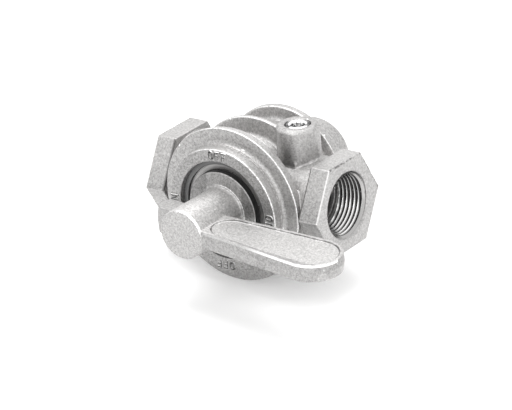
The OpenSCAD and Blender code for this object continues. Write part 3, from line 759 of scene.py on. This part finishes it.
# Skins the overlapping forms of a piece as one casting and softens its edges
def castSkin(piece, voxel, softening):
    skin = piece.modifiers.new("skin", "REMESH")
    skin.mode = "VOXEL"
    skin.voxel_size = voxel
    soften = piece.modifiers.new("soften", "SMOOTH")
    soften.factor = 0.5
    soften.iterations = softening
    applyModifiers(piece)


def thinOut(piece, triangles):
    piece.data.calc_loop_triangles()
    share = triangles / len(piece.data.loop_triangles)
    if share < 1:
        thin = piece.modifiers.new("thin", "DECIMATE")
        thin.ratio = share
        applyModifiers(piece)
    weigh = piece.modifiers.new("weigh", "WEIGHTED_NORMAL")
    weigh.keep_sharp = True


def carve(piece, tool):
    cut = piece.modifiers.new("cut", "BOOLEAN")
    cut.operation = "DIFFERENCE"
    cut.solver = "EXACT"
    cut.object = tool
    applyModifiers(piece)
    bpy.data.objects.remove(tool)


coarse = 1.0


# The casting
casting = {
    "voxel": 0.34 * mm, "softening": 2, "triangles": 192000,
    "seamHalf": 0.28 * mm, "seamRise": 0.16 * mm, "outside": 27 * mm, "faceSeam": 32.5 * mm,
    "ringFace": 32.8 * mm, "bossMiddle": 25.3 * mm, "bossHalf": 10.5 * mm, "bossReach": 12.8 * mm,
    "bossFoot": 21.5 * mm, "bossTop": 36.2 * mm, "bossFall": 6 * mm, "bossBlend": 1.5 * mm, "bossRounds": 24,
    "bossRound": 10.75 * mm, "bossRoundTop": 0.5, "bossRoundFoot": 1.0,
    # the cheek beside the boss thickens the front rib: degrees from the top, y of its rear face and radius
    "cheek": ((15, -18.9, 38.6), (22, -17.8, 38.6), (29, -16.4, 38.6), (35, -15.4, 38.3), (40.5, -15.4, 36.6)),
    "cheekInner": 29, "cheekFront": -19.6, "bossInner": 0.8, "weld": 0.01 * mm,
    "seamSide": 0.5, "seamOutwards": 0.1, "seamFace": 0.9,
}


# Wraps points in a hull and drops those inside it
def addHull(bm, points):
    skin = bmesh.ops.convex_hull(bm, input=points)
    loose = [g for g in skin["geom_interior"] if isinstance(g, bmesh.types.BMVert)]
    bmesh.ops.delete(bm, geom=loose, context="VERTS")


# A cheek cast between the front rib and the boss
def addCheek(bm):
    corners = []
    for degrees, rear, outer in casting["cheek"]:
        angle = math.radians(degrees)
        for radius in (casting["cheekInner"], outer):
            for alongY in (casting["cheekFront"], rear):
                corners.append(bm.verts.new((
                    rotorX + radius * math.sin(angle) * mm, alongY * mm, radius * math.cos(angle) * mm)))
    addHull(bm, corners)


# The eight sides of the boss are cast rounder towards its foot
def softenBoss(piece):
    flat = casting["bossHalf"]
    bm = bmesh.new()
    bm.from_mesh(piece.data)
    side = []
    for vert in bm.verts:
        alongX, alongY = vert.co.x - rotorX - casting["bossMiddle"], vert.co.y
        reach = math.hypot(alongX, alongY)
        if vert.co.z < casting["bossFoot"] or not casting["bossInner"] * flat < reach < casting["bossReach"]:
            continue
        slant = (math.atan2(alongY, alongX) + math.pi / 8) % (math.pi / 4) - math.pi / 8
        wall = flat / math.cos(slant)
        beyond = min(max((reach - wall) / casting["bossBlend"], 0), 1)
        depth = min(max((casting["bossTop"] - vert.co.z) / casting["bossFall"], 0), 1)
        rounding = casting["bossRoundTop"] + (casting["bossRoundFoot"] - casting["bossRoundTop"]) * depth
        share = rounding * (1 - beyond)
        scale = 1 + share * (casting["bossRound"] / wall - 1)
        vert.co.x += alongX * (scale - 1)
        vert.co.y += alongY * (scale - 1)
        if vert.co.z < casting["bossTop"]:
            side.append(vert)
    for turn in range(round(casting["bossRounds"] / coarse)):
        bmesh.ops.smooth_vert(
            bm, verts=side, factor=0.5, use_axis_x=True, use_axis_y=True, use_axis_z=False)
    bm.to_mesh(piece.data)
    bm.free()


# The letters are a piece of their own, so the ring's face is flat here
def flattenRing(piece):
    for vert in piece.data.vertices:
        vert.co.y = max(vert.co.y, -casting["ringFace"])


# A raised mould seam along the middle of the casting, on its outside only
def raiseSeam(piece):
    bm = bmesh.new()
    bm.from_mesh(piece.data)
    bm.normal_update()
    for vert in bm.verts:
        away = math.hypot(vert.co.x - rotorX, vert.co.z)
        if abs(vert.co.z) < casting["seamHalf"] * coarse and away > casting["outside"]:
            outwards = vert.normal.x * (vert.co.x - rotorX)
            onSide = abs(vert.normal.z) < casting["seamSide"] and outwards > casting["seamOutwards"] * away
            onFace = vert.normal.y < -casting["seamFace"] and away > casting["faceSeam"]
            if onSide or onFace:
                vert.co += vert.normal * casting["seamRise"]
    bm.to_mesh(piece.data)
    bm.free()


def makeCasting():
    bm = bmesh.new()
    bm.from_mesh(nodes["valve_body"].data)
    bmesh.ops.remove_doubles(bm, verts=bm.verts, dist=casting["weld"])
    addCheek(bm)
    piece = addPiece("castBody", bm, "valve", castSteel)
    castSkin(piece, casting["voxel"] * coarse, casting["softening"])
    softenBoss(piece)
    flattenRing(piece)
    raiseSeam(piece)
    thinOut(piece, casting["triangles"])
    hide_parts("valve_body")
    print("casting made,", len(piece.data.polygons), "faces")


# Letters on the ring
letters = {
    "width": 3.0, "height": 4.6, "stroke": 0.9, "pitch": 3.9, "rise": 0.55, "sink": 0.2, "bevel": 0.28,
    "radius": 26.4, "curve": 14,
    "words": ((0, "OFF"), (180, "OFF"), (91, "ON"), (270, "ON")),  # degrees clockwise from the top
}


def glyphOutline(glyph):
    side, top, stroke = letters["width"] / 2, letters["height"], letters["stroke"]
    inner = side - stroke
    if glyph == "F":
        low, high = (top - stroke) / 2, (top + stroke) / 2
        short = side - stroke / 2
        return ((-side, 0), (-inner, 0), (-inner, low), (short, low), (short, high), (-inner, high),
                (-inner, top - stroke), (side, top - stroke), (side, top), (-side, top))
    step = top * stroke / (2 * side - stroke)
    return ((-side, 0), (-inner, 0), (-inner, top - step), (inner, 0), (side, 0),
            (side, top), (inner, top), (inner, step), (-inner, top), (-side, top))


# A closed loop of points round a letter O, at a distance inside its outer edge
def loopOutline(inset):
    radius = letters["width"] / 2 - inset
    points = []
    for half, middle in ((0, letters["height"] - letters["width"] / 2), (1, letters["width"] / 2)):
        for step in range(letters["curve"] + 1):
            angle = math.pi * (half + step / letters["curve"])
            points.append((radius * math.cos(angle), middle + radius * math.sin(angle)))
    return points


def addGlyph(bm, glyph, shift, turn):
    def newVerts(points):
        return [bm.verts.new(((x + shift) * mm, 0, (z + letters["radius"]) * mm)) for x, z in points]

    if glyph == "O":
        outer, inner = newVerts(loopOutline(0)), newVerts(loopOutline(letters["stroke"]))
        faces = [
            bm.faces.new((outer[k - 1], outer[k], inner[k], inner[k - 1])) for k in range(len(outer))]
        made = outer + inner
    else:
        made = newVerts(glyphOutline(glyph))
        faces = [bm.faces.new(made)]
    grown = bmesh.ops.extrude_face_region(bm, geom=faces)
    top = [g for g in grown["geom"] if isinstance(g, bmesh.types.BMVert)]
    bmesh.ops.translate(bm, verts=made, vec=(0, letters["sink"] * mm - casting["ringFace"], 0))
    bmesh.ops.translate(bm, verts=top, vec=(0, -letters["rise"] * mm - casting["ringFace"], 0))
    topSet = set(top)
    rim = [edge for edge in bm.edges if len(edge.link_faces) == 2 and all(v in topSet for v in edge.verts)
           and any(not set(face.verts) <= topSet for face in edge.link_faces)]
    around = set(top) | set(made)
    bevelled = bmesh.ops.bevel(
        bm, geom=rim, offset=letters["bevel"] * mm, offset_type="OFFSET", segments=2, profile=0.5,
        affect="EDGES", material=-1)
    around = {v for v in around if v.is_valid} | set(bevelled["verts"])
    bmesh.ops.rotate(bm, cent=(0, 0, 0), matrix=Matrix.Rotation(turn, 3, "Y"), verts=list(around))


def makeLetters():
    bm = bmesh.new()
    for degrees, word in letters["words"]:
        for place, glyph in enumerate(word):
            shift = (place - (len(word) - 1) / 2) * letters["pitch"]
            addGlyph(bm, glyph, shift, math.radians(degrees))
    bmesh.ops.translate(bm, verts=bm.verts, vec=rotorAxis)
    piece = addPiece("ringLetters", bm, "valve", letterSteel)
    piece.data.shade_flat()


# Turned and pressed pieces: the node's own form with its sharp edges broken
broken = {
    "retaining_ring": ("clipRing", "valve", "spring_steel", springSteel, 0.18 * mm),
    "gland_ring": ("glandCollar", "valve", "turned_steel", grooveSteel, 0.2 * mm),
    "rear_plug": ("rearCap", "valve", "turned_steel", turnedSteel, 0.35 * mm),
    "angle": math.radians(35), "weld": 0.005 * mm,
}


def makeBroken(nodeName):
    name, body, slotName, material, width = broken[nodeName]
    bm = bmesh.new()
    bm.from_mesh(nodes[nodeName].data)
    bmesh.ops.remove_doubles(bm, verts=bm.verts, dist=broken["weld"])
    sharp = [
        edge for edge in bm.edges if len(edge.link_faces) == 2 and edge.calc_face_angle() > broken["angle"]]
    bmesh.ops.bevel(
        bm, geom=sharp, offset=width, offset_type="OFFSET", segments=2, profile=0.5, affect="EDGES",
        material=-1)
    piece = addPiece(name, bm, body, material)
    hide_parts(nodeName)


# Bleed plug: loops from its foot up to the rim and down into the socket, as (radius, height below the top)
bleedPlug = {
    "middle": 25.3 * mm, "top": 38.2 * mm, "segments": 96, "hexFrom": 8, "sharp": math.radians(40),
    "loops": ((6.0, 10), (6.53, 9.5), (6.53, 1.2), (6.15, 0.7), (5.95, 0.3), (5.5, 0.1), (4.6, 0.05),
              (4.1, 0.5), (3.5, 0.9), (3.5, 5.0)),
}


def makeBleedPlug():
    bm = bmesh.new()
    previous = None
    for place, (radius, depth) in enumerate(bleedPlug["loops"]):
        made = bmesh.ops.create_circle(
            bm, segments=bleedPlug["segments"], radius=radius * mm,
            matrix=Matrix.Translation((0, 0, -depth * mm)))["verts"]
        if place >= bleedPlug["hexFrom"]:
            for vert in made:
                angle = math.atan2(vert.co.y, vert.co.x)
                slant = (angle + math.pi / 6) % (math.pi / 3) - math.pi / 6
                vert.co.x /= math.cos(slant)
                vert.co.y /= math.cos(slant)
        edges = list({edge for vert in made for edge in vert.link_edges})
        if previous:
            bmesh.ops.bridge_loops(bm, edges=previous + edges)
        else:
            bmesh.ops.contextual_create(bm, geom=edges)
        previous = edges
    bmesh.ops.contextual_create(bm, geom=previous)
    bmesh.ops.translate(bm, verts=bm.verts, vec=rotorAxis + Vector((bleedPlug["middle"], 0, bleedPlug["top"])))
    piece = addPiece("bleedCap", bm, "valve", bleedSteel)
    piece.data.set_sharp_from_angle(angle=bleedPlug["sharp"])
    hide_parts("bleed_plug")


# Port threads. The outline of the ridge is (pitches along, radius in millimetres).
thread = {
    "pitch": 2.309 * mm, "turnSteps": 96, "length": 17.1 * mm, "gap": 0.998,
    "outline": ((-0.5, 16.76), (-0.5, 16.66), (-0.36, 16.54), (-0.1, 15.23), (0, 15.17), (0.1, 15.23),
                (0.36, 16.54), (0.5, 16.66), (0.5, 16.76)),
    "cone": 16.65 * mm, "coneMost": 16.76 * mm,
}


# The cut thread of one port, as a coil of one ridge. Side -1 is the inlet.
def makeThread(name, mouthX, side):
    bm = bmesh.new()
    pitch = thread["pitch"]
    ring = [
        bm.verts.new((along * pitch * thread["gap"], 0, radius * mm)) for along, radius in thread["outline"]]
    face = bm.faces.new(ring)
    turns = thread["length"] / pitch
    steps = round(turns * thread["turnSteps"])
    bmesh.ops.spin(
        bm, geom=[face, *face.edges, *ring], cent=(0, 0, 0), axis=(1, 0, 0), angle=2 * math.pi * turns,
        dvec=(-thread["length"] / steps, 0, 0), steps=steps, use_merge=False, use_duplicate=False)
    # the cone at the mouth cuts the first turn away
    for vert in bm.verts:
        reach = math.hypot(vert.co.y, vert.co.z)
        least = thread["cone"] + vert.co.x
        if reach < least:
            scale = min(least, thread["coneMost"]) / reach
            vert.co.y *= scale
            vert.co.z *= scale
    if side < 0:
        bmesh.ops.rotate(bm, cent=(0, 0, 0), matrix=Matrix.Rotation(math.pi, 3, "Z"), verts=bm.verts)
    bmesh.ops.translate(bm, verts=bm.verts, vec=(mouthX, 0, 0))
    return addPiece(name, bm, "valve", threadSteel)


# Lever
lever = {
    "voxel": 0.27 * mm, "softening": 2, "triangles": 192000, "weld": 0.001 * mm, "steps": 128,
    "stem": ((0, -66), (11.7, -66), (12.1, -65.9), (12.7, -65.1), (12.2, -34.6), (12.35, -33.6), (12.85, -33.0),
             (13.7, -32.72), (19.6, -32.7), (20.05, -32.25), (20.05, -28.8), (0, -28.8)),
    "paddleRoot": (0, 10.1), "paddleTip": (69.5, 15.5), "paddleHalf": 4.4 * mm, "draft": 0.5,
    "panelDepth": 0.7 * mm, "tailTip": (-15.9, 6.1), "tailRoot": (0, 6.1), "tailHalf": 7 * mm, "tailDraft": 0.6,
}


# A slab between two round ends, widest at half its height. Each end is (x, radius) in millimetres.
def makeSlab(bm, ends, middleY, low, high, draft):
    rims = []
    for alongX, radius in ends:
        for height, inset in ((low, draft), ((low + high) / 2, 0), (high, draft)):
            made = bmesh.ops.create_circle(
                bm, segments=96, radius=(radius - inset) * mm,
                matrix=Matrix.Translation((alongX * mm, middleY, height)))
            rims += made["verts"]
    addHull(bm, rims)
    wires = [edge for edge in bm.edges if not edge.link_faces]
    bmesh.ops.delete(bm, geom=wires, context="EDGES")


def makeLever():
    half = lever["paddleHalf"]
    paddleForm = bmesh.new()
    ends = lever["paddleRoot"], lever["paddleTip"]
    makeSlab(paddleForm, ends, leverPlan["paddleY"], -half, half, lever["draft"])
    paddle = addPiece("paddleForm", paddleForm, None, castSteel)
    for side in (-1, 1):
        panelForm = bmesh.new()
        floorZ = side * (half - lever["panelDepth"])
        low, high = sorted((floorZ, side * 2 * half))
        makeSlab(panelForm, (leverPlan["panelRoot"], leverPlan["panelTip"]), leverPlan["paddleY"], low, high, 0)
        carve(paddle, addPiece("panelForm", panelForm, None, castSteel))
    bm = bmesh.new()
    bm.from_mesh(paddle.data)
    bpy.data.objects.remove(paddle)
    # the tail on the far side of the stem
    tailHalf = lever["tailHalf"]
    makeSlab(
        bm, (lever["tailTip"], lever["tailRoot"]), leverPlan["tailY"], -tailHalf, tailHalf, lever["tailDraft"])
    bmesh.ops.translate(bm, verts=bm.verts, vec=(0, 0, leverPlan["lift"]))
    # the stem with its foot disc, turned about the rotor's axis
    stem = [bm.verts.new((radius * mm, alongY * mm, 0)) for radius, alongY in lever["stem"]]
    edges = [bm.edges.new(pair) for pair in zip(stem, stem[1:])]
    bmesh.ops.spin(
        bm, geom=stem + edges, cent=(0, 0, 0), axis=(0, 1, 0), angle=2 * math.pi, steps=lever["steps"],
        use_merge=True)
    bmesh.ops.remove_doubles(bm, verts=bm.verts, dist=lever["weld"])
    bmesh.ops.rotate(bm, cent=(0, 0, 0), matrix=Matrix.Rotation(leverPlan["droop"], 3, "Y"), verts=bm.verts)
    bmesh.ops.translate(bm, verts=bm.verts, vec=rotorAxis)
    piece = addPiece("leverCasting", bm, "rotor", leverSteel)
    castSkin(piece, lever["voxel"] * coarse, lever["softening"])
    thinOut(piece, lever["triangles"])
    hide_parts("operating_lever")
    print("lever made,", len(piece.data.polygons), "faces")


makeCasting()
makeLetters()
makeLever()
for nodeName in ("retaining_ring", "gland_ring", "rear_plug"):
    makeBroken(nodeName)
makeBleedPlug()
makeThread("inletThread", 0.0, -1)
makeThread("outletThread", 2 * rotorX, 1)


# Floor, light and backdrop
studio = {
    "floorUp": (0.0957, 0.0, 0.9954), "floorDrop": 40.25 * mm, "floorSize": 4.0,
    "floorColour": (0.82, 0.82, 0.82), "floorGlow": 0.18, "skyLight": 1.22,
    "lamps": (("softbox", 5.6, 0.55, (-0.12, 0.1, 0.85)), ("sideFill", 2.0, 0.5, (0.55, -0.9, 0.3))),
}


def whiteForCamera(tree, surface, strength):
    path = tree.nodes.new("ShaderNodeLightPath")
    seen = largest(tree, *(path.outputs[f"Is {ray} Ray"] for ray in ("Camera", "Glossy", "Transmission")))
    glow = tree.nodes.new("ShaderNodeEmission")
    tree.links.new(product(tree, seen, strength), glow.inputs["Strength"])
    join = tree.nodes.new("ShaderNodeAddShader")
    tree.links.new(surface, join.inputs[0])
    tree.links.new(glow.outputs[0], join.inputs[1])
    return join.outputs[0]


def makeStudio():
    up = Vector(studio["floorUp"]).normalized()
    bm = bmesh.new()
    bmesh.ops.create_grid(bm, x_segments=1, y_segments=1, size=studio["floorSize"] / 2)
    turned = up.to_track_quat("Z", "Y").to_matrix().to_4x4()
    bmesh.ops.transform(bm, verts=bm.verts, matrix=Matrix.Translation(
        rotorAxis - up * studio["floorDrop"]) @ turned)
    material = bpy.data.materials.new("paleFloor")
    material.use_nodes = True
    tree = material.node_tree
    tree.nodes.remove(tree.nodes["Principled BSDF"])
    matte = tree.nodes.new("ShaderNodeBsdfDiffuse")
    setSocket(tree, matte.inputs["Color"], studio["floorColour"])
    glowing = whiteForCamera(tree, matte.outputs[0], studio["floorGlow"])
    tree.links.new(glowing, tree.nodes["Material Output"].inputs["Surface"])
    mesh = bpy.data.meshes.new("floor")
    bm.to_mesh(mesh)
    bm.free()
    mesh.materials.append(material)
    floor = bpy.data.objects.new("floor", mesh)
    scene.collection.objects.link(floor)

    world = bpy.data.worlds.new("paleStudio")
    scene.world = world
    world.use_nodes = True
    tree = world.node_tree
    seen = tree.nodes.new("ShaderNodeLightPath").outputs["Is Camera Ray"]
    level = addRange(tree, seen, 0, 1, studio["skyLight"], 1)
    tree.links.new(level, tree.nodes["Background"].inputs["Strength"])
    tree.nodes["Background"].inputs["Color"].default_value = (1, 1, 1, 1)

    for name, power, size, place in studio["lamps"]:
        light = bpy.data.lights.new(name, "AREA")
        light.energy = power
        light.shape = "SQUARE"
        light.size = size
        lamp = bpy.data.objects.new(name, light)
        scene.collection.objects.link(lamp)
        lamp.location = rotorAxis + Vector(place)
        lamp.rotation_euler = Vector(place).to_track_quat("Z", "Y").to_euler()


makeStudio()
makeCamera()
scene.view_settings.view_transform = "Standard"
print("studio made")
